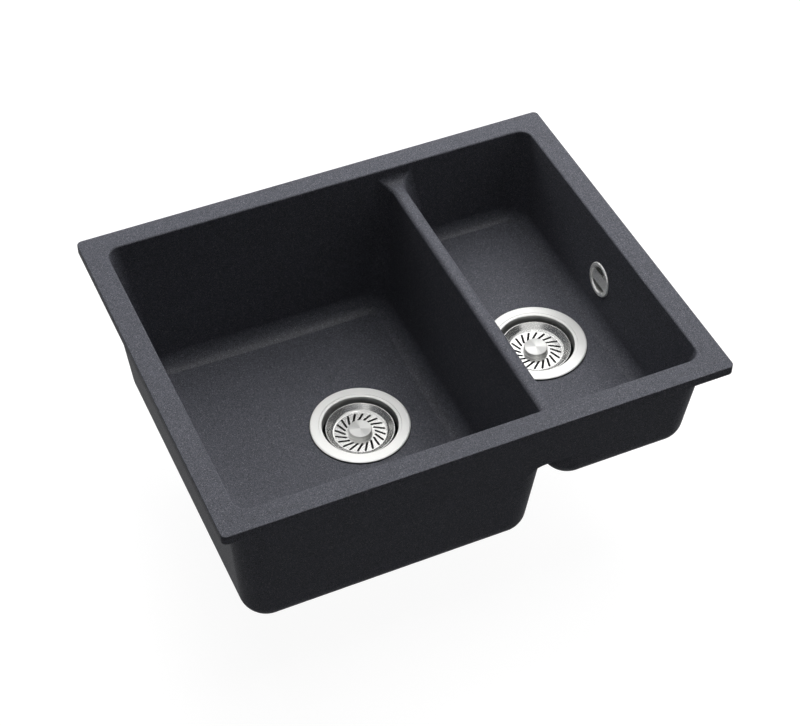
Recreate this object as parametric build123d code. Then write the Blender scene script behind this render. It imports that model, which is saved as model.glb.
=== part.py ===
from build123d import *
import math
import os

# A one-and-a-half bowl kitchen sink moulded in granite composite, with two basket
# strainer wastes and an overflow. Origin: centre of the rim's top face. X runs along
# the front edge with the main bowl at -X, Y towards the wall behind, Z up.

# ------------------------------------------------------------------ rim
RIM_LENGTH = 560.0          # along X
RIM_DEPTH = 452.0           # along Y
RIM_THICK = 11.0
RIM_CORNER = 6.0            # plan radius of the outer corners
RIM_TOP_ROUND = 0.9         # edge round along the top
RIM_FOOT_ROUND = 0.4        # edge round along the underside
RIM_BORDER = 25.0           # rim edge to the bowl wall, measured at the top face
MOUTH_ROUND = 2.0           # round where the rim turns down into the bowls

# ------------------------------------------------------------------ bowls
WALL = 10.6                 # wall of the moulding, square to the wall
DRAFT = 5.1                 # lean of every wall, degrees
FLOOR_THICK = 10.0          # under the strainer seats
MAIN_HEIGHT = 200.0         # rim top to the main bowl's underside
HALF_HEIGHT = 128.8         # rim top to the half bowl's underside
CORNER_TOP = 15.0           # inner corner radius at the rim
CORNER_FOOT = 28.0          # inner corner radius at the floor
OUTER_CORNER_TOP = 26.0     # outer corner radius at the rim
OUTER_CORNER_FOOT = 30.0    # outer corner radius at the underside
MAIN_FOOT_ROUND = 26.0      # floor to wall, inside
HALF_FOOT_ROUND = 20.0
OUTER_FOOT_ROUND = 27.0     # underside to wall, outside
FLOOR_CREASE = 0.5          # floor lies this far above the end of the foot round
FLOOR_SLOPE = 0.8           # fall of the floor towards the strainer, degrees

# ------------------------------------------------------------------ divider and web
DIVIDER_X = 86.7            # middle of the divider
DIVIDER_WIDTH = 15.0        # across its top, before rounding
DIVIDER_DROP = 20.0         # rim top to divider top
DIVIDER_ROUND = 5.0         # along its top edges
SADDLE_ROUND = 11.0         # divider top up into the back and front walls
SADDLE_STEP = 0.2           # the wall over the divider's ends stands this far into the bowl
WEB_HEIGHT = 83.0           # rim top to the underside of the web between the bowls
WEB_ROUND = 26.0            # web underside into the main bowl's corner
WEB_TURN = 7.0              # divider middle to where that round starts
WEB_SIDE = 26.0             # reach of the web into the half bowl's wall

# ------------------------------------------------------------------ strainer wastes
MAIN_DRAIN = (-37.4, 13.0)  # centre of the main bowl's strainer
HALF_DRAIN = (166.5, -12.7)
DRAIN_HOLE_RADIUS = 45.0    # 90 mm waste hole
SEAT_CLEAR = 2.2            # flat seat beyond the flange
SEAT_RELIEF = 9.0           # height that the seat is cleared through a foot round
FLANGE_REACH = 11.75        # flange beyond the hole
FLANGE_THICK = 1.2
FLANGE_BEVEL = 1.0          # fall of the flange's outer edge
FLANGE_STEP_REACH = 2.0     # fine step on the flange's top, beyond the hole
FLANGE_STEP = 0.5
SHEET = 1.0                 # steel sheet of flange and cup
CUP_CLEARANCE = 0.8         # cup inside the hole
CUP_DEPTH = 28.0            # flange top to the cup's underside
CUP_FOOT_ROUND = 5.0
SEAL_THICK = 1.0
SEAL_PROUD = 0.7            # gasket shows beyond the flange
OUTLET_HOLES = 6
OUTLET_HOLE_RADIUS = 5.5
OUTLET_RING_RADIUS = 16.0
SCREW_HOLE = 3.4            # in the cup's floor

# ------------------------------------------------------------------ basket
BASKET_GAP = 4.1            # lip to the cup's wall
BASKET_SHEET = 0.7          # steel sheet of the basket
BASKET_LIP = 0.9            # flat lip round the basket
BASKET_SIDE = 7.1           # lip's edge in to the floor's edge
BASKET_DROP = 6.5           # flange top to the lip's top
BASKET_FLOOR_DROP = 13.5    # flange top to the slotted floor
BASKET_ROUND = 5.0          # floor up into the basket's side
BASKET_LIP_ROUND = 0.3
SLOTS = 20
SLOT_WIDTH = 2.6
SLOT_INNER = 17.6           # radius of the slot's inner end centre
SLOT_MARGIN = 4.2           # slot's outer end centre to the floor's edge
SLOT_SWIRL = -13.7          # turn from inner to outer end, degrees
MAIN_PHASE = 3.0            # angle of the first slot's inner end from X, degrees
HALF_PHASE = 3.0
KNOB_RADIUS = 13.2
KNOB_HEIGHT = 6.7
KNOB_ROUND = 0.8
KNOB_FOOT_RADIUS = 14.2     # thin collar where the knob meets the basket
KNOB_FOOT_HEIGHT = 0.8
STEM_RADIUS = 8.0
COLLAR_RADIUS = 11.0        # keeps the stopper down on the stem
COLLAR_THICK = 1.5
NECK_RADIUS = 4.0
NECK_HEIGHT = 4.5           # neck above the basket floor, inside the knob
TURN_CLEARANCE = 0.3        # basket and knob round the neck
STOPPER_RADIUS = 25.0
STOPPER_THICK = 3.0
STOPPER_LIP = 0.8           # sealing lip under the stopper
REST_GAP = 0.3              # lifted pieces over what they rest on

# ------------------------------------------------------------------ clamp screw
SCREW_RADIUS = 3.0
SCREW_HEAD_RADIUS = 6.0
SCREW_HEAD_HEIGHT = 3.2
SCREW_SLOT_WIDTH = 1.2
SCREW_SLOT_DEPTH = 1.4
SCREW_CLEARANCE = 0.3
INSERT_RADIUS = 5.0
INSERT_LENGTH = 11.0
INSERT_CLEARANCE = 0.05     # moulded-in fit
SCREW_BITE = 9.0            # length of screw inside the insert

# ------------------------------------------------------------------ waste body
BODY_SEAL_THICK = 3.0
BODY_SEAL_WIDTH = 6.0
BODY_FLANGE_WIDTH = 8.0     # seat under the bowl, out from the chamber
BODY_FLANGE_THICK = 4.0
BODY_WALL = 2.6
BODY_BORE_STEP = 1.0        # chamber beyond the waste hole
BODY_DEPTH = 46.0           # flange top to the chamber floor
BODY_CONE = 7.0             # height of the funnel under the chamber
SPIGOT_RADIUS = 23.9        # G 1 1/2 thread, 47.8 mm over the crests
SPIGOT_WALL = 3.6
SPIGOT_LENGTH = 24.0
SPIGOT_SHOULDER = 26.5
HUB_RADIUS = 7.5
HUB_LENGTH = 14.0
HUB_GAP = 0.3               # hub under the cup
SPOKES = 4
SPOKE_WIDTH = 3.0
SPOKE_HEIGHT = 9.0
SPOKE_DROP = 1.5            # hub top to the spokes
THREAD_PITCH = 2.309        # 11 to the inch
THREAD_CREST = 0.5          # crest's share of the pitch
THREAD_DEPTH = 1.0
THREAD_RUNOUT = 1.0
THREAD_LEAD = 0.6
INLET_DROP = 28.0           # body flange top to the middle of the hose inlet
INLET_BOSS_RADIUS = 10.4    # shoulder that a hose nut seats on
INLET_STEP = 2.4            # body's wall to that shoulder

# ------------------------------------------------------------------ overflow
OVERFLOW_Y = 1.0
OVERFLOW_RISE = 64.8        # half bowl's underside to the middle of the overflow
OVERFLOW_HOLE_RADIUS = 18.0
ROSETTE_RADIUS = 20.3
ROSETTE_PROUD = 1.6
ROSETTE_MOUTH = 15.0        # inside radius of the ring
ROSETTE_BEVEL = 1.3         # slope from the ring's face into its mouth
ROSETTE_SKIRT_RADIUS = 17.2
ROSETTE_SKIRT_LENGTH = 8.0  # reach of the skirt into the wall
PLATE_RECESS = 1.6          # ring face to the plate
PLATE_THICK = 1.2
PLATE_TOP = 6.7             # chord above the middle
PLATE_BOTTOM = -7.3
PLATE_CLEARANCE = 0.1
PEG_RADIUS = 1.6
PEG_SPREAD = 9.0
BAR_WIDTH = 9.0             # cross bar that takes the screw
BAR_THICK = 2.0
BAR_GAP = 2.6               # plate back to the bar
OVERFLOW_SCREW_RADIUS = 2.5
OVERFLOW_HEAD_RADIUS = 4.2
OVERFLOW_HEAD_HEIGHT = 2.0
ELBOW_SEAL_THICK = 2.0
ELBOW_SEAL_RADIUS = 24.0
ELBOW_FLANGE_RADIUS = 25.0
ELBOW_FLANGE_THICK = 2.5
ELBOW_RADIUS = 20.0
ELBOW_DEPTH = 16.0          # seal to the elbow's back
ELBOW_WALL = 2.0
ELBOW_HUB_RADIUS = 5.5
ELBOW_HUB_LENGTH = 8.5
ELBOW_INSERT_RADIUS = 3.6
ELBOW_INSERT_LENGTH = 7.0
ELBOW_DROP = 34.0           # overflow middle to the end of the elbow's spigot

# ------------------------------------------------------------------ ribbed hose
HOSE_RADIUS = 9.0           # over the ribs
HOSE_VALLEY = 7.9
HOSE_BORE = 7.0
HOSE_PITCH = 4.0
RIB_FOOT = 0.6              # rib's share of the pitch at its foot
RIB_CREST = 0.3             # and at its crest
HOSE_END = 18.0             # shortest straight run at either end
NUT_RADIUS = 11.2
NUT_CLEAR = 0.5             # nut to the bowl's outer wall
NUT_LENGTH = 11.0
NUT_GROOVES = 12
NUT_GROOVE = 0.9
NUT_GAP = 0.2
SPIGOT_TUBE_RADIUS = 6.8    # small spigots that the hose pushes over
SPIGOT_TUBE_BORE = 5.3
SPIGOT_TUBE_REACH = 8.0     # spigot inside the hose

LEAN = math.tan(math.radians(DRAFT))
WALL_FLAT = WALL / math.cos(math.radians(DRAFT))
HALF_LENGTH = RIM_LENGTH / 2 - RIM_BORDER
HALF_DEPTH = RIM_DEPTH / 2 - RIM_BORDER
DIVIDER_HALF = DIVIDER_WIDTH / 2 - DIVIDER_DROP * LEAN
MAIN_RIGHT = DIVIDER_X - DIVIDER_HALF
HALF_LEFT = DIVIDER_X + DIVIDER_HALF

# The waste's pieces are sized from its hole.
FLANGE_RADIUS = DRAIN_HOLE_RADIUS + FLANGE_REACH
FLANGE_STEP_RADIUS = DRAIN_HOLE_RADIUS + FLANGE_STEP_REACH
SEAT_RADIUS = FLANGE_RADIUS + SEAT_CLEAR
CUP_OUTER = DRAIN_HOLE_RADIUS - CUP_CLEARANCE
CUP_RADIUS = CUP_OUTER - SHEET
BASKET_RADIUS = CUP_RADIUS - BASKET_GAP
BASKET_FLOOR_RADIUS = BASKET_RADIUS - BASKET_SIDE
SLOT_OUTER = BASKET_FLOOR_RADIUS - SLOT_MARGIN
BODY_BORE = DRAIN_HOLE_RADIUS + BODY_BORE_STEP
BODY_OUTER = BODY_BORE + BODY_WALL
BODY_SEAL_OUTER = BODY_BORE + BODY_SEAL_WIDTH
BODY_FLANGE_RADIUS = BODY_BORE + BODY_FLANGE_WIDTH
INLET_REACH = BODY_OUTER + INLET_STEP

# Heights of a waste's pieces below the rim are worked out from its flange top.
FLANGE_RISE = FLOOR_THICK + SEAL_THICK + FLANGE_THICK      # underside of the bowl to flange top
CUP_FLOOR = -CUP_DEPTH + SHEET                             # from the flange top
HUB_TOP = FLANGE_RISE - CUP_DEPTH - HUB_GAP                # from the bowl's underside
BODY_TOP = -BODY_SEAL_THICK
INLET_LEVEL = -HALF_HEIGHT + BODY_TOP - INLET_DROP

# The hose hangs just outside the half bowl's right wall.
OVERFLOW_DROP = HALF_HEIGHT - OVERFLOW_RISE
SPOUT_LEVEL = -OVERFLOW_DROP - ELBOW_DROP
SPOUT_X = HALF_LENGTH + WALL_FLAT + SPOUT_LEVEL * LEAN + NUT_RADIUS + NUT_CLEAR
HOSE_RUN = math.hypot(SPOUT_X - HALF_DRAIN[0], OVERFLOW_Y - HALF_DRAIN[1])
HOSE_ANGLE = math.degrees(math.atan2(OVERFLOW_Y - HALF_DRAIN[1], SPOUT_X - HALF_DRAIN[0]))
HOSE_BEND = min(HOSE_RUN - INLET_REACH, SPOUT_LEVEL - INLET_LEVEL) - HOSE_END

# The overflow's pieces lie along the wall's normal, measured from the inner wall.
PLATE_BACK = ROSETTE_PROUD - PLATE_RECESS - PLATE_THICK
ELBOW_FACE = -WALL - ELBOW_SEAL_THICK
ELBOW_HUB_FRONT = ELBOW_FACE - ELBOW_DEPTH + ELBOW_WALL + ELBOW_HUB_LENGTH


# ------------------------------------------------------------------ helpers
def rounded(x0, x1, y0, y1, radius, z):
    """A rounded rectangle between the given sides at height z."""
    face = Rectangle(x1 - x0, y1 - y0)
    face = fillet(face.vertices(), radius)
    return Location(((x0 + x1) / 2, (y0 + y1) / 2, z)) * face


def tub(x0, x1, grow, corners, top, bottom, foot_round):
    """A drafted block with its sides given at Z = 0 and its corner radii at the rim and the foot."""
    faces = []
    for z in (top, bottom):
        inset = -z * LEAN - grow
        radius = corners[0] + (corners[1] - corners[0]) * z / bottom
        faces.append(rounded(x0 + inset, x1 - inset, -HALF_DEPTH + inset, HALF_DEPTH - inset, radius, z))
    block = loft(faces, ruled=True)
    foot = block.faces().sort_by(Axis.Z)[0]
    return fillet(foot.edges(), foot_round)


def turned(points):
    """A body turned about Z from (radius, z) points; a third number rounds that point."""
    face = make_face(Polyline([point[:2] for point in points], close=True))
    for point in points:
        if len(point) == 3:
            corner = face.vertices().sort_by_distance(Vector(point[0], point[1], 0))[0]
            face = fillet(corner, point[2])
    return revolve(Plane.XZ * face, Axis.Z)


def ring(outer, inner, low, high):
    return turned([(inner, low), (outer, low), (outer, high), (inner, high)])


def rod(radius, low, high, x=0.0, y=0.0):
    align = (Align.CENTER, Align.CENTER, Align.MIN)
    return Location((x, y, low)) * Cylinder(radius, high - low, align=align)


def around(count, radius, piece, start=0.0):
    """Copies of a piece set at a radius round Z."""
    step = 360 / count
    return [Rotation(0, 0, start + step * i) * (Location((radius, 0, 0)) * piece) for i in range(count)]


def save(body, name):
    solids = body.solids()
    shape = solids[0] if len(solids) == 1 else Compound(solids)
    shape.label = name
    export_step(shape, f"parts/{name}.step")


# ------------------------------------------------------------------ the moulding
def floor_tool(floor):
    """Everything above a floor that falls to a flat seat round the waste hole."""
    reach = RIM_LENGTH
    rise = (reach - SEAT_RADIUS) * math.tan(math.radians(FLOOR_SLOPE))
    return turned([(0, floor), (SEAT_RADIUS, floor), (reach, floor + rise), (reach, RIM_THICK), (0, RIM_THICK)])


def bowl_space(x0, x1, height, foot_round, drain):
    """The hollow of one bowl with its floor, seat and waste hole."""
    floor = -height + FLOOR_THICK
    space = tub(x0, x1, 0, (CORNER_TOP, CORNER_FOOT), 0, floor - FLOOR_CREASE, foot_round)
    space = space & Location((*drain, 0)) * floor_tool(floor)
    space = space + rod(SEAT_RADIUS, floor, floor + SEAT_RELIEF, *drain)
    return space + rod(DRAIN_HOLE_RADIUS, floor - 2 * FLOOR_THICK, floor + FLANGE_THICK, *drain)


def saddle():
    """The space over the divider, rounded up into the front and back walls."""
    head_y = HALF_DEPTH - SADDLE_STEP
    foot_y = head_y - DIVIDER_DROP * LEAN
    feet = [(-foot_y, -DIVIDER_DROP), (foot_y, -DIVIDER_DROP)]
    face = make_face(Polyline((-head_y, 0), *feet, (head_y, 0), close=True))
    face = fillet(face.vertices().sort_by(Axis.Y)[:2], SADDLE_ROUND)
    width = DIVIDER_WIDTH + 2 * CORNER_FOOT
    return Location((DIVIDER_X - width / 2, 0, 0)) * extrude(Plane.YZ * face, width)


def web():
    """The filling between the two bowls, flush with their front and back walls."""
    turn_x = DIVIDER_X - WEB_TURN
    low = -WEB_HEIGHT - WEB_ROUND
    left = turn_x - WEB_ROUND - CORNER_TOP
    right = DIVIDER_X + WEB_SIDE
    top = -RIM_THICK / 2
    start = (turn_x, -WEB_HEIGHT)
    end = (turn_x - WEB_ROUND, low)
    line = Polyline(end, (left, low), (left, top), (right, top), (right, -WEB_HEIGHT), start)
    bend = CenterArc((turn_x, low), WEB_ROUND, 90, 90)
    block = extrude(Plane.XZ * make_face([line, bend]), RIM_DEPTH, both=True)
    faces = []
    for z in (top, low):
        depth = 2 * (HALF_DEPTH + WALL_FLAT + z * LEAN)
        faces.append(Location(((left + right) / 2, 0, z)) * Rectangle(right - left, depth))
    return block & loft(faces, ruled=True)


def overflow_place():
    """Frame on the half bowl's right wall: X to the front, Y up the wall, Z into the bowl."""
    lean = math.radians(DRAFT)
    inward = (-math.cos(lean), 0, math.sin(lean))
    middle = (HALF_LENGTH - OVERFLOW_DROP * LEAN, OVERFLOW_Y, -OVERFLOW_DROP)
    return Plane(origin=middle, x_dir=(0, -1, 0), z_dir=inward).location


def inside(edge, x_reach, low, high):
    """Whether an edge lies within x_reach of a middle and between two heights."""
    box = edge.bounding_box()
    near = max(abs(box.min.X - x_reach[0]), abs(box.max.X - x_reach[0])) < x_reach[1]
    return near and box.min.Z > low and box.max.Z < high


def sink_bowl():
    rim = extrude(fillet(Rectangle(RIM_LENGTH, RIM_DEPTH).vertices(), RIM_CORNER), -RIM_THICK)
    rim = fillet(rim.faces().sort_by(Axis.Z)[-1].edges(), RIM_TOP_ROUND)
    rim = fillet(rim.faces().sort_by(Axis.Z)[0].edges(), RIM_FOOT_ROUND)
    start = -RIM_THICK / 2
    corners = (OUTER_CORNER_TOP, OUTER_CORNER_FOOT)
    body = rim + tub(-HALF_LENGTH, MAIN_RIGHT, WALL_FLAT, corners, start, -MAIN_HEIGHT, OUTER_FOOT_ROUND)
    body = body + tub(HALF_LEFT, HALF_LENGTH, WALL_FLAT, corners, start, -HALF_HEIGHT, OUTER_FOOT_ROUND)
    body = body + rod(BODY_FLANGE_RADIUS, -HALF_HEIGHT, -HALF_HEIGHT + FLOOR_THICK, *HALF_DRAIN)
    body = body + web()
    body = body - bowl_space(-HALF_LENGTH, MAIN_RIGHT, MAIN_HEIGHT, MAIN_FOOT_ROUND, MAIN_DRAIN)
    body = body - bowl_space(HALF_LEFT, HALF_LENGTH, HALF_HEIGHT, HALF_FOOT_ROUND, HALF_DRAIN)
    body = body - saddle()
    slack = 0.01
    crest_reach = (DIVIDER_X, DIVIDER_WIDTH / 2 + CORNER_FOOT)
    crest = [edge for edge in body.edges() if inside(edge, crest_reach, -DIVIDER_DROP - slack, -slack)]
    crest = [edge for edge in crest if edge.geom_type != GeomType.LINE]
    body = fillet(crest, DIVIDER_ROUND)
    mouth = [edge for edge in body.edges() if inside(edge, (0, HALF_LENGTH + slack), -slack, slack)]
    body = fillet(mouth, MOUTH_ROUND)
    return body - overflow_place() * Cylinder(OVERFLOW_HOLE_RADIUS, 4 * WALL)


# ------------------------------------------------------------------ one waste, at Z = 0 on its flange top
def strainer_cup():
    crown = FLANGE_RADIUS - FLANGE_BEVEL
    mouth = -FLANGE_STEP
    points = [
        (CUP_OUTER, -FLANGE_THICK), (FLANGE_RADIUS, -FLANGE_THICK), (FLANGE_RADIUS, -FLANGE_THICK / 2),
        (crown, 0, FLANGE_BEVEL), (FLANGE_STEP_RADIUS, 0), (FLANGE_STEP_RADIUS - FLANGE_STEP, mouth),
        (CUP_RADIUS, mouth, SHEET), (CUP_RADIUS, CUP_FLOOR, CUP_FOOT_ROUND), (SCREW_HOLE, CUP_FLOOR),
        (SCREW_HOLE, -CUP_DEPTH), (CUP_OUTER, -CUP_DEPTH, CUP_FOOT_ROUND + SHEET),
    ]
    outlet = rod(OUTLET_HOLE_RADIUS, -2 * CUP_DEPTH, 0)
    return turned(points) - around(OUTLET_HOLES, OUTLET_RING_RADIUS, outlet)


def strainer_seal():
    return ring(FLANGE_RADIUS + SEAL_PROUD, DRAIN_HOLE_RADIUS, -FLANGE_THICK - SEAL_THICK, -FLANGE_THICK)


def basket(phase):
    lip = BASKET_RADIUS - BASKET_LIP
    floor = -BASKET_FLOOR_DROP
    hole = NECK_RADIUS + TURN_CLEARANCE
    under = floor - BASKET_SHEET
    lip_under = -BASKET_DROP - BASKET_SHEET
    side = BASKET_SHEET / 2
    points = [
        (hole, floor), (BASKET_FLOOR_RADIUS, floor, BASKET_ROUND), (lip, -BASKET_DROP, BASKET_LIP_ROUND),
        (BASKET_RADIUS, -BASKET_DROP, BASKET_LIP_ROUND), (BASKET_RADIUS, lip_under), (lip + side, lip_under),
        (BASKET_FLOOR_RADIUS + side, under, BASKET_ROUND + BASKET_SHEET), (hole, under),
    ]
    inner = Vector(SLOT_INNER, 0).rotate(Axis.Z, 0)
    outer = Vector(SLOT_OUTER, 0).rotate(Axis.Z, SLOT_SWIRL)
    run = outer - inner
    slot = extrude(SlotCenterToCenter(run.length, SLOT_WIDTH), 2 * BASKET_SHEET, both=True)
    middle = (inner + outer) / 2
    angle = math.degrees(math.atan2(run.Y, run.X))
    slot = Location((middle.X, middle.Y, floor), (0, 0, angle)) * slot
    return turned(points) - around(SLOTS, 0, slot, phase)


def basket_knob():
    low = -BASKET_FLOOR_DROP
    top = low + KNOB_HEIGHT
    bore = NECK_RADIUS + TURN_CLEARANCE
    bore_top = low + NECK_HEIGHT + TURN_CLEARANCE
    points = [
        (0, top), (KNOB_RADIUS, top, KNOB_ROUND), (KNOB_RADIUS, low + KNOB_FOOT_HEIGHT),
        (KNOB_FOOT_RADIUS, low + KNOB_FOOT_HEIGHT), (KNOB_FOOT_RADIUS, low), (bore, low),
        (bore, bore_top), (0, bore_top),
    ]
    return turned(points)


def stopper():
    low = CUP_FLOOR + REST_GAP
    face = low + STOPPER_LIP
    lip = STOPPER_RADIUS - 2 * STOPPER_LIP
    points = [
        (STEM_RADIUS, face), (lip, face), (lip + STOPPER_LIP, low), (STOPPER_RADIUS, low),
        (STOPPER_RADIUS, face + STOPPER_THICK / 2, STOPPER_LIP), (STEM_RADIUS, face + STOPPER_THICK),
    ]
    return turned(points)


def basket_stem():
    """A spindle whose socket drops over the screw head; the basket turns on its neck."""
    low = CUP_FLOOR + REST_GAP
    socket = SCREW_HEAD_RADIUS + SCREW_CLEARANCE
    socket_top = CUP_FLOOR + SCREW_HEAD_HEIGHT + REST_GAP
    shoulder = -BASKET_FLOOR_DROP - BASKET_SHEET - TURN_CLEARANCE
    collar = CUP_FLOOR + REST_GAP + STOPPER_LIP + STOPPER_THICK
    neck_top = -BASKET_FLOOR_DROP + NECK_HEIGHT
    points = [
        (0, socket_top), (socket, socket_top), (socket, low), (STEM_RADIUS, low), (STEM_RADIUS, collar),
        (COLLAR_RADIUS, collar), (COLLAR_RADIUS, collar + COLLAR_THICK), (STEM_RADIUS, collar + COLLAR_THICK),
        (STEM_RADIUS, shoulder), (NECK_RADIUS, shoulder), (NECK_RADIUS, neck_top), (0, neck_top),
    ]
    return turned(points)


def clamp_screw(tip):
    head = rod(SCREW_HEAD_RADIUS, CUP_FLOOR, CUP_FLOOR + SCREW_HEAD_HEIGHT)
    head = fillet(head.faces().sort_by(Axis.Z)[-1].edges(), SCREW_SLOT_WIDTH)
    groove = Box(3 * SCREW_HEAD_RADIUS, SCREW_SLOT_WIDTH, 2 * SCREW_SLOT_DEPTH)
    head = head - Location((0, 0, CUP_FLOOR + SCREW_HEAD_HEIGHT)) * groove
    shank = rod(SCREW_RADIUS, tip, CUP_FLOOR)
    return head + chamfer(shank.faces().sort_by(Axis.Z)[0].edges(), SCREW_RADIUS / 4)


# ------------------------------------------------------------------ below a bowl, at Z = 0 on its underside
def body_seal():
    return ring(BODY_SEAL_OUTER, BODY_BORE, -BODY_SEAL_THICK, 0)


def screw_insert():
    return ring(INSERT_RADIUS, SCREW_RADIUS + INSERT_CLEARANCE, HUB_TOP - INSERT_LENGTH, HUB_TOP)


def spigot_outline(top, foot):
    """The thread's crests and roots down the outside of the spigot."""
    root = SPIGOT_RADIUS - THREAD_DEPTH
    flank = THREAD_PITCH * (1 - THREAD_CREST) / 2
    points = []
    z = top - THREAD_RUNOUT
    while z - THREAD_PITCH > foot + THREAD_LEAD:
        points += [(root, z), (SPIGOT_RADIUS, z - flank), (SPIGOT_RADIUS, z - THREAD_PITCH + flank)]
        z -= THREAD_PITCH
    return points + [(root, z)]


def waste_body():
    floor = BODY_TOP - BODY_DEPTH
    throat = floor - BODY_CONE
    foot = throat - SPIGOT_LENGTH
    bore = SPIGOT_RADIUS - SPIGOT_WALL
    under = BODY_TOP - BODY_FLANGE_THICK
    root = SPIGOT_RADIUS - THREAD_DEPTH
    points = [
        (BODY_BORE, BODY_TOP), (BODY_FLANGE_RADIUS, BODY_TOP, BODY_WALL / 4),
        (BODY_FLANGE_RADIUS, under, BODY_WALL / 4), (BODY_OUTER, under, BODY_WALL / 2),
        (BODY_OUTER, floor - BODY_WALL / 2, BODY_WALL),
        (SPIGOT_SHOULDER, throat - BODY_WALL / 2, BODY_WALL / 2), (SPIGOT_SHOULDER, throat - 2 * BODY_WALL),
        (root, throat - 2 * BODY_WALL), *spigot_outline(throat - 2 * BODY_WALL, foot), (root, foot),
        (bore, foot), (bore, throat), (BODY_BORE, floor),
    ]
    body = turned(points)
    hub = rod(HUB_RADIUS, HUB_TOP - HUB_LENGTH, HUB_TOP)
    spoke = Location((0, 0, HUB_TOP - SPOKE_DROP)) * Box(
        BODY_BORE + BODY_WALL / 2, SPOKE_WIDTH, SPOKE_HEIGHT, align=(Align.MIN, Align.CENTER, Align.MAX))
    body = body + hub + around(SPOKES, 0, spoke, 180 / SPOKES)
    insert_foot = HUB_TOP - INSERT_LENGTH - INSERT_CLEARANCE
    body = body - rod(INSERT_RADIUS + INSERT_CLEARANCE, insert_foot, HUB_TOP + SHEET)
    body = body - rod(SCREW_RADIUS + SCREW_CLEARANCE, HUB_TOP - 2 * HUB_LENGTH, HUB_TOP)
    return body


def waste_body_with_inlet():
    """The half bowl's waste body, with a spigot for the overflow hose along its own X."""
    level = BODY_TOP - INLET_DROP
    along = Plane(origin=(0, 0, level), x_dir=(0, 1, 0), z_dir=(1, 0, 0)).location
    start = (BODY_BORE + BODY_OUTER) / 2
    body = waste_body()
    body = body + along * rod(INLET_BOSS_RADIUS, start, INLET_REACH)
    body = body + along * rod(SPIGOT_TUBE_RADIUS, start, INLET_REACH + SPIGOT_TUBE_REACH)
    body = body - along * rod(SPIGOT_TUBE_BORE, BODY_BORE - BODY_WALL, INLET_REACH + 2 * SPIGOT_TUBE_REACH)
    return Rotation(0, 0, HOSE_ANGLE) * body


# ------------------------------------------------------------------ overflow, at Z = 0 on the inner wall
def overflow_ring():
    crown = ROSETTE_RADIUS - ROSETTE_PROUD / 2
    points = [
        (ROSETTE_MOUTH, ROSETTE_PROUD - ROSETTE_BEVEL), (ROSETTE_MOUTH + ROSETTE_BEVEL, ROSETTE_PROUD),
        (crown, ROSETTE_PROUD, ROSETTE_PROUD / 2),
        (ROSETTE_RADIUS, ROSETTE_PROUD / 3), (ROSETTE_RADIUS, 0), (ROSETTE_SKIRT_RADIUS, 0),
        (ROSETTE_SKIRT_RADIUS, -ROSETTE_SKIRT_LENGTH), (ROSETTE_MOUTH, -ROSETTE_SKIRT_LENGTH),
    ]
    bar_front = PLATE_BACK - BAR_GAP
    reach = ROSETTE_MOUTH + ROSETTE_SKIRT_RADIUS
    align = (Align.CENTER, Align.CENTER, Align.MAX)
    bar = Location((0, 0, bar_front)) * Box(reach, BAR_WIDTH, BAR_THICK, align=align)
    hole = rod(OVERFLOW_SCREW_RADIUS + SCREW_CLEARANCE, -2 * ROSETTE_SKIRT_LENGTH, 0)
    return overflow_place() * (turned(points) + bar - hole)


def overflow_plate():
    """The plain plate across the rosette, on two pegs that stand on the cross bar."""
    disc = rod(ROSETTE_MOUTH - PLATE_CLEARANCE, PLATE_BACK, PLATE_BACK + PLATE_THICK)
    width = 4 * ROSETTE_MOUTH
    band = Location((0, (PLATE_TOP + PLATE_BOTTOM) / 2, 0)) * Box(width, PLATE_TOP - PLATE_BOTTOM, width)
    pegs = [rod(PEG_RADIUS, PLATE_BACK - BAR_GAP, PLATE_BACK, side * PEG_SPREAD) for side in (-1, 1)]
    return overflow_place() * ((disc & band) + pegs)


def overflow_screw():
    seat = PLATE_BACK - BAR_GAP
    head = rod(OVERFLOW_HEAD_RADIUS, seat, seat + OVERFLOW_HEAD_HEIGHT)
    head = fillet(head.faces().sort_by(Axis.Z)[-1].edges(), OVERFLOW_HEAD_HEIGHT / 3)
    groove = Box(3 * OVERFLOW_HEAD_RADIUS, SCREW_SLOT_WIDTH, OVERFLOW_HEAD_HEIGHT)
    head = head - Location((0, 0, seat + OVERFLOW_HEAD_HEIGHT)) * groove
    shank = rod(OVERFLOW_SCREW_RADIUS, ELBOW_HUB_FRONT - ELBOW_INSERT_LENGTH, seat)
    return overflow_place() * (head + shank)


def overflow_insert():
    low = ELBOW_HUB_FRONT - ELBOW_INSERT_LENGTH
    bore = OVERFLOW_SCREW_RADIUS + INSERT_CLEARANCE
    return overflow_place() * ring(ELBOW_INSERT_RADIUS, bore, low, ELBOW_HUB_FRONT)


def overflow_seal():
    return overflow_place() * ring(ELBOW_SEAL_RADIUS, OVERFLOW_HOLE_RADIUS, ELBOW_FACE, -WALL)


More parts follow.
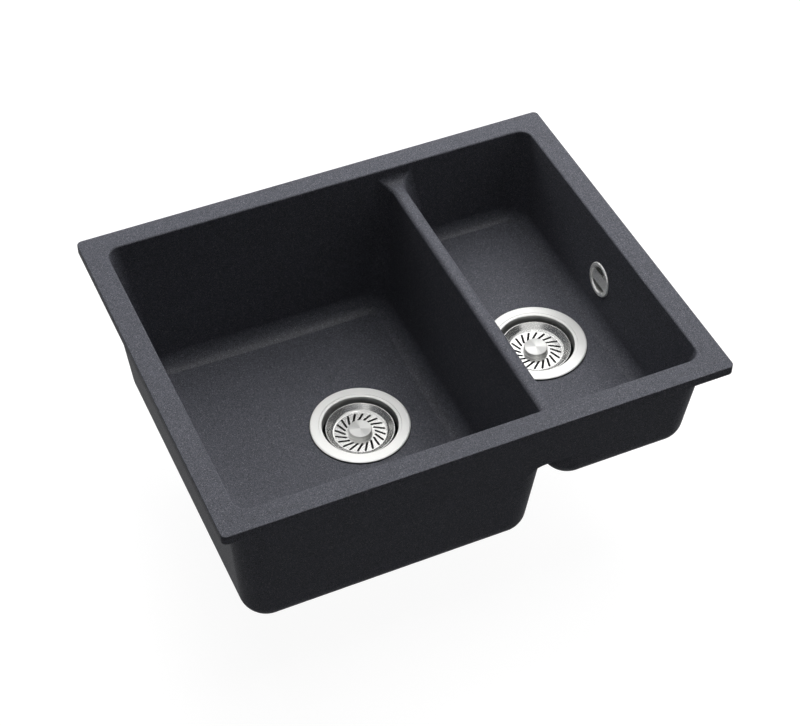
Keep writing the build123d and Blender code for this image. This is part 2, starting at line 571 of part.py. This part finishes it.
def overflow_elbow():
    """A shallow drum behind the overflow hole that drains into a spout straight down."""
    back = ELBOW_FACE - ELBOW_DEPTH
    inner = ELBOW_RADIUS - ELBOW_WALL
    shell = rod(ELBOW_FLANGE_RADIUS, ELBOW_FACE - ELBOW_FLANGE_THICK, ELBOW_FACE)
    drum = rod(ELBOW_RADIUS, back, ELBOW_FACE)
    drum = fillet(drum.faces().sort_by(Axis.Z)[0].edges(), ELBOW_WALL)
    hollow = rod(inner, back + ELBOW_WALL, ELBOW_FACE + ELBOW_WALL)
    hub = rod(ELBOW_HUB_RADIUS, back + ELBOW_WALL / 2, ELBOW_HUB_FRONT)
    hub = hub - rod(ELBOW_INSERT_RADIUS + INSERT_CLEARANCE, back + ELBOW_WALL, ELBOW_HUB_FRONT + ELBOW_WALL)
    place = overflow_place()
    front = place * rod(RIM_DEPTH, ELBOW_FACE, ELBOW_FACE + RIM_DEPTH)
    spout = rod(INLET_BOSS_RADIUS, SPOUT_LEVEL, -OVERFLOW_DROP - inner / 2, SPOUT_X, OVERFLOW_Y) - front
    tube_foot = SPOUT_LEVEL - SPIGOT_TUBE_REACH
    tube = rod(SPIGOT_TUBE_RADIUS, tube_foot, SPOUT_LEVEL + ELBOW_WALL, SPOUT_X, OVERFLOW_Y)
    bore = rod(SPIGOT_TUBE_BORE, tube_foot - ELBOW_WALL, -OVERFLOW_DROP - inner / 2, SPOUT_X, OVERFLOW_Y)
    body = place * (shell + drum) + spout + tube
    return body - place * hollow - bore + place * hub


# ------------------------------------------------------------------ hose
def hose_middle():
    """The hose's middle line in the upright plane of the overflow and the half bowl's waste."""
    foot = (INLET_REACH, INLET_LEVEL)
    bend_start = (HOSE_RUN - HOSE_BEND, INLET_LEVEL)
    centre = (bend_start[0], INLET_LEVEL + HOSE_BEND)
    bend_end = (HOSE_RUN, centre[1])
    head = (HOSE_RUN, SPOUT_LEVEL)
    line = [Line(foot, bend_start), CenterArc(centre, HOSE_BEND, -90, 90), Line(bend_end, head)]
    return Location((*HALF_DRAIN, 0), (0, 0, HOSE_ANGLE)) * (Plane.XZ * Wire(line))


def overflow_hose():
    """A ribbed tube: every rib is a straight loft through four circles along the middle line."""
    middle = hose_middle()
    ribs = int(middle.length // HOSE_PITCH)
    pitch = middle.length / ribs
    across = Vector(0, 1, 0).rotate(Axis.Z, HOSE_ANGLE)
    rise = [(HOSE_VALLEY, -RIB_FOOT), (HOSE_RADIUS, -RIB_CREST)]
    fall = [(HOSE_RADIUS, RIB_CREST), (HOSE_VALLEY, RIB_FOOT)]
    stations = [(HOSE_VALLEY, 0.0)]
    for rib in range(ribs):
        for radius, width in rise + fall:
            stations.append((radius, (rib + (1 + width) / 2) * pitch))
    stations.append((HOSE_VALLEY, middle.length))
    circles = []
    bores = []
    for radius, reach in stations:
        share = reach / middle.length
        plane = Plane(origin=middle @ share, x_dir=across, z_dir=middle % share)
        circles.append(plane * Circle(radius))
        bores.append(plane * Circle(HOSE_BORE))
    print("hose length", round(middle.length, 1), "ribs", ribs, "bend radius", round(HOSE_BEND, 1))
    return loft(circles, ruled=True) - loft(bores, ruled=True)


def hose_nut(place):
    """A gripping nut round one hose end; it seats against the shoulder behind that end."""
    body = ring(NUT_RADIUS, HOSE_RADIUS + NUT_GAP, 0, NUT_LENGTH)
    grip = rod(NUT_GROOVE, 0, NUT_LENGTH - NUT_GROOVE)
    return place * (body - around(NUT_GROOVES, NUT_RADIUS, grip))


# ------------------------------------------------------------------ all pieces
def build():
    os.makedirs("parts", exist_ok=True)
    save(sink_bowl(), "sink_bowl")
    wastes = (("main", MAIN_DRAIN, MAIN_HEIGHT, MAIN_PHASE), ("half", HALF_DRAIN, HALF_HEIGHT, HALF_PHASE))
    for name, drain, height, phase in wastes:
        above = Location((*drain, -height + FLANGE_RISE))
        below = Location((*drain, -height))
        body = waste_body() if name == "main" else waste_body_with_inlet()
        save(above * strainer_cup(), f"{name}_strainer_cup")
        save(above * strainer_seal(), f"{name}_strainer_seal")
        save(above * basket(phase), f"{name}_basket")
        save(above * basket_knob(), f"{name}_basket_knob")
        save(above * basket_stem(), f"{name}_basket_stem")
        save(above * stopper(), f"{name}_stopper")
        save(above * clamp_screw(HUB_TOP - SCREW_BITE - FLANGE_RISE), f"{name}_clamp_screw")
        save(below * screw_insert(), f"{name}_screw_insert")
        save(below * body_seal(), f"{name}_body_seal")
        save(below * body, f"{name}_waste_body")
    save(overflow_ring(), "overflow_ring")
    save(overflow_plate(), "overflow_plate")
    save(overflow_screw(), "overflow_screw")
    save(overflow_insert(), "overflow_insert")
    save(overflow_seal(), "overflow_seal")
    save(overflow_elbow(), "overflow_elbow")
    save(overflow_hose(), "overflow_hose")
    inlet = Location((*HALF_DRAIN, INLET_LEVEL), (0, 0, HOSE_ANGLE)) * Plane(
        origin=(INLET_REACH, 0, 0), x_dir=(0, 1, 0), z_dir=(1, 0, 0)).location
    spout = Plane(origin=(SPOUT_X, OVERFLOW_Y, SPOUT_LEVEL), x_dir=(1, 0, 0), z_dir=(0, 0, -1)).location
    save(hose_nut(spout), "hose_nut_upper")
    save(hose_nut(inlet), "hose_nut_lower")


if __name__ == "__main__":
    build()
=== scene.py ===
import math

import bpy
from mathutils import Matrix, Vector


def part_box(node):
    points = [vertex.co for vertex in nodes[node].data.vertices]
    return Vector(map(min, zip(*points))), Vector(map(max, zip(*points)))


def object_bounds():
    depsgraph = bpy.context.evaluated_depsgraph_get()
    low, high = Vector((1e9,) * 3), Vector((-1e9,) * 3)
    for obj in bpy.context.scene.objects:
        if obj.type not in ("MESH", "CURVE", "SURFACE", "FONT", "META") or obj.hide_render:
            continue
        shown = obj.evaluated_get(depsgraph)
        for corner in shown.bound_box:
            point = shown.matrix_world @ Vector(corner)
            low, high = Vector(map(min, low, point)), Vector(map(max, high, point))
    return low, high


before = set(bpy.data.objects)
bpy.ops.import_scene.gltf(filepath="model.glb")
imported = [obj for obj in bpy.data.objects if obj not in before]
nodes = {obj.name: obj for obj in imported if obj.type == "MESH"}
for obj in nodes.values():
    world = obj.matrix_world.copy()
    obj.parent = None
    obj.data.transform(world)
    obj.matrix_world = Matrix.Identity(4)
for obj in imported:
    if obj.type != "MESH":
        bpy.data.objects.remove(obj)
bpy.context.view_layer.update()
scene = bpy.context.scene

# ------------------------------------------------------------------ camera
IMAGE_WIDTH = 800
FOCAL_PIXELS = 1996.38
AZIMUTH, ELEVATION, ROLL = -24.34, 45.99, 0.29          # degrees
ORIGIN_RIGHT, ORIGIN_UP, ORIGIN_AWAY = -0.00462, 0.06411, 2.10688   # rim centre as the camera sees it


def camera_axes():
    """The camera's right, up and backward directions."""
    azimuth, elevation, roll = (math.radians(angle) for angle in (AZIMUTH, ELEVATION, ROLL))
    back = Vector((math.sin(azimuth) * math.cos(elevation), -math.cos(azimuth) * math.cos(elevation),
                   math.sin(elevation)))
    level = Vector((0, 0, 1)).cross(back).normalized()
    rise = back.cross(level)
    right = math.cos(roll) * level + math.sin(roll) * rise
    up = math.cos(roll) * rise - math.sin(roll) * level
    return right, up, back


def add_camera():
    right, up, back = camera_axes()
    data = bpy.data.cameras.new("camera")
    camera = bpy.data.objects.new("camera", data)
    scene.collection.objects.link(camera)
    place = back * ORIGIN_AWAY - right * ORIGIN_RIGHT - up * ORIGIN_UP
    turn = Matrix((right, up, back)).transposed().to_4x4()
    camera.matrix_world = Matrix.Translation(place) @ turn
    data.sensor_width = 36.0
    data.lens = data.sensor_width * FOCAL_PIXELS / IMAGE_WIDTH
    data.clip_start, data.clip_end = 0.05, 50.0
    scene.camera = camera


add_camera()


# ------------------------------------------------------------------ node materials
class Surface:
    """A node material that is put together one node at a time."""

    def __init__(self, name, **sockets):
        self.material = bpy.data.materials.new(name)
        self.material.use_nodes = True
        self.tree = self.material.node_tree
        self.shader = self.tree.nodes["Principled BSDF"]
        self.place = self.add("ShaderNodeTexCoord").outputs["Object"]
        for socket, value in sockets.items():
            self.set(socket, value)

    def add(self, kind, inputs=None, **settings):
        node = self.tree.nodes.new(kind)
        for name, value in settings.items():
            setattr(node, name, value)
        for socket, value in (inputs or {}).items():
            self.join(node.inputs[socket], value)
        return node

    def join(self, socket, value):
        if isinstance(value, bpy.types.NodeSocket):
            self.tree.links.new(value, socket)
        else:
            socket.default_value = value

    def set(self, socket, value):
        self.join(self.shader.inputs[socket.replace("_", " ")], value)

    def math(self, operation, *values):
        return self.add("ShaderNodeMath", dict(enumerate(values)), operation=operation).outputs[0]

    def noise(self, scale, detail=2.0, roughness=0.5, place=None):
        inputs = {"Vector": place or self.place, "Scale": scale, "Detail": detail, "Roughness": roughness}
        return self.add("ShaderNodeTexNoise", inputs).outputs["Fac"]

    def cells(self, scale):
        """A random value for each small cell."""
        cell = self.add("ShaderNodeTexVoronoi", {"Vector": self.place, "Scale": scale, "Randomness": 1.0})
        return self.add("ShaderNodeSeparateColor", {"Color": cell.outputs["Color"]}).outputs[0]

    def ramp(self, value, stops):
        """Maps a value through (position, colour) stops."""
        node = self.add("ShaderNodeValToRGB", {"Fac": value})
        elements = node.color_ramp.elements
        while len(elements) < len(stops):
            elements.new(0.5)
        for element, (position, colour) in zip(elements, stops):
            element.position = position
            element.color = (*colour, 1.0) if isinstance(colour, tuple) else (colour, colour, colour, 1.0)
        return node.outputs["Color"]

    def mix(self, share, first, second, blend="MIX"):
        node = self.add("ShaderNodeMix", data_type="RGBA", blend_type=blend)
        for socket, value in ((node.inputs[0], share), (node.inputs[6], first), (node.inputs[7], second)):
            if isinstance(value, tuple) and len(value) == 3:
                value = (*value, 1.0)
            self.join(socket, value)
        return node.outputs[2]

    def bump(self, height, distance, strength=1.0):
        inputs = {"Height": height, "Distance": distance, "Strength": strength}
        return self.add("ShaderNodeBump", inputs).outputs["Normal"]


RESIN, PALE_GRAIN, DARK_GRAIN = (0.078, 0.080, 0.094), (0.185, 0.187, 0.205), (0.045, 0.046, 0.054)
SPECKLE_CELLS, PALE_CELLS, DARK_CELLS = 2100.0, 1700.0, 1800.0      # per metre
SPECKLE_SWING = 0.54                    # how far a cell strays from the resin's tone
GRAIN_SCALE, GRAIN_RELIEF = 1100.0, 0.00002


def granite():
    """Anthracite composite: a fine even speckle of quartz grains in dark resin."""
    surface = Surface("granite_composite", Specular_IOR_Level=0.01)
    speckle = surface.ramp(surface.cells(SPECKLE_CELLS), [(0.0, 1.0 - SPECKLE_SWING), (1.0, 1.0 + SPECKLE_SWING)])
    cloud = surface.ramp(surface.noise(14.0, 3.0), [(0.3, 0.97), (0.7, 1.03)])
    resin = surface.mix(1.0, RESIN, cloud, "MULTIPLY")
    tone = surface.mix(1.0, resin, speckle, "MULTIPLY")
    pale = surface.ramp(surface.cells(PALE_CELLS), [(0.955, 0.0), (0.965, 1.0)])
    tone = surface.mix(pale, tone, PALE_GRAIN)
    dark = surface.ramp(surface.cells(DARK_CELLS), [(0.035, 1.0), (0.045, 0.0)])
    tone = surface.mix(dark, tone, DARK_GRAIN)
    surface.set("Base Color", tone)
    grain = surface.noise(GRAIN_SCALE, 3.0, 0.6)
    surface.set("Roughness", surface.ramp(grain, [(0.2, 0.41), (0.8, 0.51)]))
    surface.set("Normal", surface.bump(grain, GRAIN_RELIEF))
    return surface.material


def polar(surface, middle):
    """Radius in metres and angle in radians about a vertical axis through a point."""
    shift = surface.add("ShaderNodeVectorMath", {0: surface.place, 1: (-middle[0], -middle[1], 0.0)},
                        operation="ADD").outputs[0]
    flat = surface.add("ShaderNodeVectorMath", {0: shift, 1: (1.0, 1.0, 0.0)}, operation="MULTIPLY").outputs[0]
    radius = surface.add("ShaderNodeVectorMath", {0: flat}, operation="LENGTH").outputs["Value"]
    side = surface.add("ShaderNodeSeparateXYZ", {0: shift}).outputs
    return radius, surface.math("ARCTAN2", side[1], side[0])


def along(surface, value, scale):
    """A point that moves only with the value, for a noise in one dimension."""
    return surface.add("ShaderNodeCombineXYZ", {0: surface.math("MULTIPLY", value, scale)}).outputs[0]


RING_SCALE, SHEEN_STREAK_SCALE = 2600.0, 9.0      # rings per metre of radius, streaks of painted sheen per radian
PAINTED_FAN_OFFSET = 0.5                            # turns the painted fan of highlight and shade about the axis, in radians
SMEAR_SCALE = 60.0
PAINTED_SHADE_START, PAINTED_SHADE_END = 0.001, -0.003        # over and under the level where the painted shade in the cup begins
PAINTED_SHADE_TINT = 0.04                            # share of the tint that is left in the painted shade
RING_RELIEF = 0.000004


def turned_steel(name, middle, roughness, tint, metallic, brushed, grooves, painted_sheen_fan=0.0, painted_shade_below=None):
    """Steel with fine rings about a vertical axis; it may have a painted fan of highlight and shade, or painted
    shade low down.
    """
    surface = Surface(name, Metallic=metallic, Anisotropic=brushed)
    radius, angle = polar(surface, middle)
    rings = surface.noise(1.0, 3.0, 0.6, place=along(surface, radius, RING_SCALE))
    smear = surface.noise(SMEAR_SCALE, 3.0)
    tone = surface.mix(rings, tuple(0.93 * part for part in tint), tint)
    # painted highlight and shade: a bow-tie fan with radial streaks, as turned steel reflects light, multiplied
    # into the tone
    if painted_sheen_fan:
        painted_fan_wave = surface.math("SINE", surface.math("MULTIPLY_ADD", angle, 2.0, PAINTED_FAN_OFFSET))
        painted_streak = surface.noise(1.0, 2.0, place=along(surface, angle, SHEEN_STREAK_SCALE))
        painted_sheen = surface.math("ADD", painted_fan_wave, surface.math("MULTIPLY", painted_streak, 1.6))
        tone = surface.mix(1.0, tone, surface.ramp(painted_sheen, [(0.0, 1.0 - painted_sheen_fan), (1.0, 1.0 + painted_sheen_fan)]), "MULTIPLY")
    # painted shade: the steel goes dark below the given level, where shade falls deep in the cup
    if painted_shade_below is not None:
        height = surface.add("ShaderNodeSeparateXYZ", {0: surface.place}).outputs[2]
        shade_share = surface.add("ShaderNodeMapRange", {"Value": height, "From Min": painted_shade_below + PAINTED_SHADE_END,
                                                   "From Max": painted_shade_below + PAINTED_SHADE_START}).outputs[0]
        tone = surface.mix(shade_share, tuple(PAINTED_SHADE_TINT * part for part in tint), tone)
    surface.set("Base Color", tone)
    base = surface.math("MULTIPLY_ADD", rings, 0.10, roughness - 0.05)
    surface.set("Roughness", surface.math("MULTIPLY", base, surface.ramp(smear, [(0.3, 0.9), (0.7, 1.1)])))
    tangent = surface.add("ShaderNodeTangent", direction_type="RADIAL", axis="Z").outputs[0]
    surface.set("Tangent", tangent)
    surface.set("Normal", surface.bump(rings, RING_RELIEF, grooves))
    return surface.material


def plain_steel(name, roughness, tint, metallic=1.0):
    """Satin steel with a fine even grain."""
    surface = Surface(name, Metallic=metallic)
    grain = surface.noise(1800.0, 2.0)
    surface.set("Base Color", surface.mix(grain, tuple(0.92 * part for part in tint), tint))
    surface.set("Roughness", surface.ramp(grain, [(0.2, roughness - 0.04), (0.8, roughness + 0.06)]))
    surface.set("Normal", surface.bump(grain, 0.00001, 0.5))
    return surface.material


def moulded(name, colour, roughness):
    """Moulded plastic or rubber with a fine eroded texture."""
    surface = Surface(name, Specular_IOR_Level=0.4)
    grain = surface.noise(900.0, 3.0)
    patch = surface.noise(35.0, 2.0)
    surface.set("Base Color", surface.mix(patch, colour, tuple(1.25 * part for part in colour)))
    surface.set("Roughness", surface.ramp(grain, [(0.2, roughness - 0.06), (0.8, roughness + 0.08)]))
    surface.set("Normal", surface.bump(grain, 0.00003, 0.6))
    return surface.material


def brass():
    """Turned brass with a little variation in tone."""
    surface = Surface("brass", Metallic=1.0)
    grain = surface.noise(700.0, 2.0)
    surface.set("Base Color", surface.mix(grain, (0.62, 0.42, 0.16), (0.74, 0.53, 0.24)))
    surface.set("Roughness", surface.ramp(grain, [(0.2, 0.28), (0.8, 0.42)]))
    return surface.material


def middle_of(node):
    low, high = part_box(node)
    return (low + high) / 2


STEEL = (0.87, 0.87, 0.85)
KNOB = (0.76, 0.76, 0.745)
BASKET = (0.66, 0.66, 0.645)
rubber = moulded("black_rubber", (0.012, 0.012, 0.013), 0.75)
plastic = moulded("black_polypropylene", (0.022, 0.022, 0.024), 0.45)
hose = moulded("hose_polyethylene", (0.030, 0.030, 0.033), 0.40)
screw = plain_steel("screw_steel", 0.25, STEEL)
fitting = plain_steel("satin_steel", 0.28, STEEL, 0.5)
metal_insert = brass()

looks = {"sink_bowl": granite(), "overflow_ring": fitting, "overflow_plate": fitting, "overflow_screw": screw,
         "overflow_insert": metal_insert, "overflow_seal": rubber, "overflow_elbow": plastic,
         "overflow_hose": hose, "hose_nut_upper": plastic, "hose_nut_lower": plastic}
for bowl in ("main", "half"):
    axis = middle_of(f"{bowl}_strainer_cup")
    floor_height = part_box(f"{bowl}_basket")[0].z
    # the cup is painted dark below the basket's floor, as painted shade
    looks[f"{bowl}_strainer_cup"] = turned_steel(f"{bowl}_flange_steel", axis, 0.34, STEEL, 0.5, 0.4, 0.5,
                                                 painted_shade_below=floor_height)
    looks[f"{bowl}_basket"] = turned_steel(f"{bowl}_basket_steel", axis, 0.20, BASKET, 0.85, 0.2, 0.0)
    # the knob's steel gets the painted fan of highlight and shade
    looks[f"{bowl}_basket_knob"] = turned_steel(f"{bowl}_knob_steel", axis, 0.36, KNOB, 0.95, 0.9, 0.6, painted_sheen_fan=0.16)
    looks[f"{bowl}_clamp_screw"] = screw
    looks[f"{bowl}_screw_insert"] = metal_insert
    for part in ("strainer_seal", "body_seal", "stopper"):
        looks[f"{bowl}_{part}"] = rubber
    for part in ("waste_body", "basket_stem"):
        looks[f"{bowl}_{part}"] = plastic


CREASE_LEVELS = (-0.1903, -0.1191)      # just under each bowl's floor
CREASE_RISE = 0.0045                    # the floors' fall towards the strainers
CREASE_ANGLE = 13.5                     # degrees, more than between two strips of a foot round


def floor_creases():
    """Geometry nodes that part the mesh along the crease round each bowl's floor."""
    tree = bpy.data.node_groups.new("floor_creases", "GeometryNodeTree")
    for side in ("INPUT", "OUTPUT"):
        tree.interface.new_socket("Geometry", in_out=side, socket_type="NodeSocketGeometry")
    add, join = tree.nodes.new, tree.links.new
    start, end, part = add("NodeGroupInput"), add("NodeGroupOutput"), add("GeometryNodeSplitEdges")
    height = add("ShaderNodeSeparateXYZ")
    join(add("GeometryNodeInputPosition").outputs[0], height.inputs[0])

    def compare(value, operation, limit):
        node = add("FunctionNodeCompare")
        node.data_type, node.operation = "FLOAT", operation
        node.inputs[1].default_value = limit
        join(value, node.inputs[0])
        return node.outputs[0]

    def both(kind, first, second):
        node = add("FunctionNodeBooleanMath")
        node.operation = kind
        join(first, node.inputs[0])
        join(second, node.inputs[1])
        return node.outputs[0]

    levels = [both("AND", compare(height.outputs[2], "GREATER_THAN", low),
                   compare(height.outputs[2], "LESS_THAN", low + CREASE_RISE)) for low in CREASE_LEVELS]
    bend = compare(add("GeometryNodeInputMeshEdgeAngle").outputs[0], "GREATER_THAN", math.radians(CREASE_ANGLE))
    join(both("AND", both("OR", *levels), bend), part.inputs["Selection"])
    join(start.outputs[0], part.inputs[0])
    join(part.outputs[0], end.inputs[0])
    return tree


WELD_DISTANCE = 2e-6
SHARP_ANGLE = 28                        # degrees

for name, piece in nodes.items():
    piece.data.materials.clear()
    piece.data.materials.append(looks[name])
    weld = piece.modifiers.new("weld", "WELD")
    weld.merge_threshold = WELD_DISTANCE
    if name == "sink_bowl":
        piece.modifiers.new("creases", "NODES").node_group = floor_creases()
    split = piece.modifiers.new("edges", "EDGE_SPLIT")
    split.split_angle = math.radians(SHARP_ANGLE)
    even = piece.modifiers.new("normals", "WEIGHTED_NORMAL")
    even.keep_sharp = True
    even.weight = 100


# ------------------------------------------------------------------ floor and light
def add_floor():
    """A pale floor that is white to the camera and in reflections, and keeps the shadow."""
    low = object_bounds()[0].z
    mesh = bpy.data.meshes.new("floor")
    corners = [(x * FLOOR_REACH, y * FLOOR_REACH, low - FLOOR_GAP) for x, y in ((-1, -1), (1, -1), (1, 1), (-1, 1))]
    mesh.from_pydata(corners, [], [(0, 1, 2, 3)])
    floor = bpy.data.objects.new("floor", mesh)
    scene.collection.objects.link(floor)
    mesh.materials.append(white_paper())


def seen_directly(tree):
    """1 for camera, glossy and transmission rays, else 0."""
    path = tree.nodes.new("ShaderNodeLightPath")
    total = path.outputs["Is Camera Ray"]
    for name in ("Is Glossy Ray", "Is Transmission Ray"):
        most = tree.nodes.new("ShaderNodeMath")
        most.operation = "MAXIMUM"
        tree.links.new(total, most.inputs[0])
        tree.links.new(path.outputs[name], most.inputs[1])
        total = most.outputs[0]
    return total


def white_paper():
    """The floor's material: a weak diffuse with a glow, and clear from underneath."""
    material = bpy.data.materials.new("white_paper")
    material.use_nodes = True
    tree = material.node_tree
    tree.nodes.clear()
    seen = seen_directly(tree)
    colour = tree.nodes.new("ShaderNodeMix")
    colour.data_type = "RGBA"
    colour.inputs[6].default_value = (FLOOR_BOUNCE, FLOOR_BOUNCE, FLOOR_BOUNCE, 1.0)
    colour.inputs[7].default_value = (FLOOR_SHOWN, FLOOR_SHOWN, FLOOR_SHOWN, 1.0)
    tree.links.new(seen, colour.inputs[0])
    plain = tree.nodes.new("ShaderNodeBsdfDiffuse")
    tree.links.new(colour.outputs[2], plain.inputs["Color"])
    glow = tree.nodes.new("ShaderNodeEmission")
    glow.inputs["Color"].default_value = (1.0, 1.0, 1.0, 1.0)
    share = tree.nodes.new("ShaderNodeMath")
    share.operation = "MULTIPLY"
    share.inputs[1].default_value = FLOOR_GLOW
    tree.links.new(seen, share.inputs[0])
    tree.links.new(share.outputs[0], glow.inputs["Strength"])
    both = tree.nodes.new("ShaderNodeAddShader")
    under = tree.nodes.new("ShaderNodeNewGeometry")
    clear = tree.nodes.new("ShaderNodeBsdfTransparent")
    side = tree.nodes.new("ShaderNodeMixShader")
    out = tree.nodes.new("ShaderNodeOutputMaterial")
    tree.links.new(plain.outputs[0], both.inputs[0])
    tree.links.new(glow.outputs[0], both.inputs[1])
    tree.links.new(under.outputs["Backfacing"], side.inputs[0])
    tree.links.new(both.outputs[0], side.inputs[1])
    tree.links.new(clear.outputs[0], side.inputs[2])
    tree.links.new(side.outputs[0], out.inputs["Surface"])
    return material


def add_world(strength):
    """A dim even light that is white to the camera and in reflections."""
    world = bpy.data.worlds.new("studio")
    scene.world = world
    world.use_nodes = True
    tree = world.node_tree
    back = tree.nodes["Background"]
    back.inputs["Color"].default_value = (1.0, 1.0, 1.0, 1.0)
    pick = tree.nodes.new("ShaderNodeMix")
    pick.data_type = "FLOAT"
    pick.inputs[2].default_value = strength
    pick.inputs[3].default_value = 1.0
    tree.links.new(seen_directly(tree), pick.inputs[0])
    tree.links.new(pick.outputs[0], back.inputs["Strength"])


def add_lamp(name, azimuth, elevation, distance, width, power):
    """A soft square lamp aimed at the sink. Azimuth 0 is in front, 90 on the right."""
    turn, rise = math.radians(azimuth), math.radians(elevation)
    way = Vector((math.sin(turn) * math.cos(rise), -math.cos(turn) * math.cos(rise), math.sin(rise)))
    data = bpy.data.lights.new(name, "AREA")
    data.shape = "SQUARE"
    data.size = width
    data.energy = power
    lamp = bpy.data.objects.new(name, data)
    scene.collection.objects.link(lamp)
    lamp.location = way * distance + AIM
    lamp.visible_glossy = False
    lamp.rotation_mode = "QUATERNION"
    lamp.rotation_quaternion = way.to_track_quat("Z", "Y")
    return lamp


def add_sheen(name, takers, azimuth, elevation, distance, width, power):
    """A soft box that only the given pieces show in their sheen."""
    lamp = add_lamp(name, azimuth, elevation, distance, width, power)
    lamp.visible_glossy, lamp.visible_diffuse = True, False
    lamp.light_linking.receiver_collection = takers


FLOOR_REACH, FLOOR_GAP = 6.0, 0.0005
FLOOR_BOUNCE = 0.10                     # reflectance that lights the sink from below
FLOOR_SHOWN, FLOOR_GLOW = 0.14, 0.945   # the shadow's depth and the white under it
AIM = Vector((0, 0, -0.1))              # the lamps point at the middle of the bowls
granite_pieces, steel_pieces = (bpy.data.collections.new(name) for name in ("granite_pieces", "steel_pieces"))
granite_pieces.objects.link(nodes["sink_bowl"])
for name in nodes:
    if name.endswith(("cup", "basket", "knob", "ring", "plate")):
        steel_pieces.objects.link(nodes[name])


# name, azimuth, elevation, distance, width, power
LAMPS = (("top", 0, 86, 4.0, 1.0, 20.0),
         ("key_low", 146, 46, 2.6, 1.6, 22.0),
         ("key_high", 146, 65, 2.6, 1.6, 38.0),
         ("back", 180, 30, 2.6, 1.2, 40.0),
         ("right_low", 90, 30, 2.6, 1.2, 14.0),
         ("right_high", 90, 60, 2.6, 1.2, 11.0),
         ("left", -90, -2, 2.2, 0.8, 1.0),
         ("front", -10, -12, 2.2, 0.8, 32.0))
SHEENS = (("sheen_front", granite_pieces, 43, 66, 4.0, 1.8, 1250.0),
          ("sheen_left", granite_pieces, -130, 58, 4.0, 1.6, 600.0),
          ("sheen_rim", granite_pieces, 146, 46, 4.0, 1.2, 220.0),
          ("glint_back", steel_pieces, 146, 47, 4.0, 1.0, 5.5),
          ("glint_top", steel_pieces, 30, 80, 4.0, 0.7, 5.0))

add_floor()
add_world(0.02)
for lamp in LAMPS:
    add_lamp(*lamp)
for sheen in SHEENS:
    add_sheen(*sheen)

scene.view_settings.view_transform = "Standard"
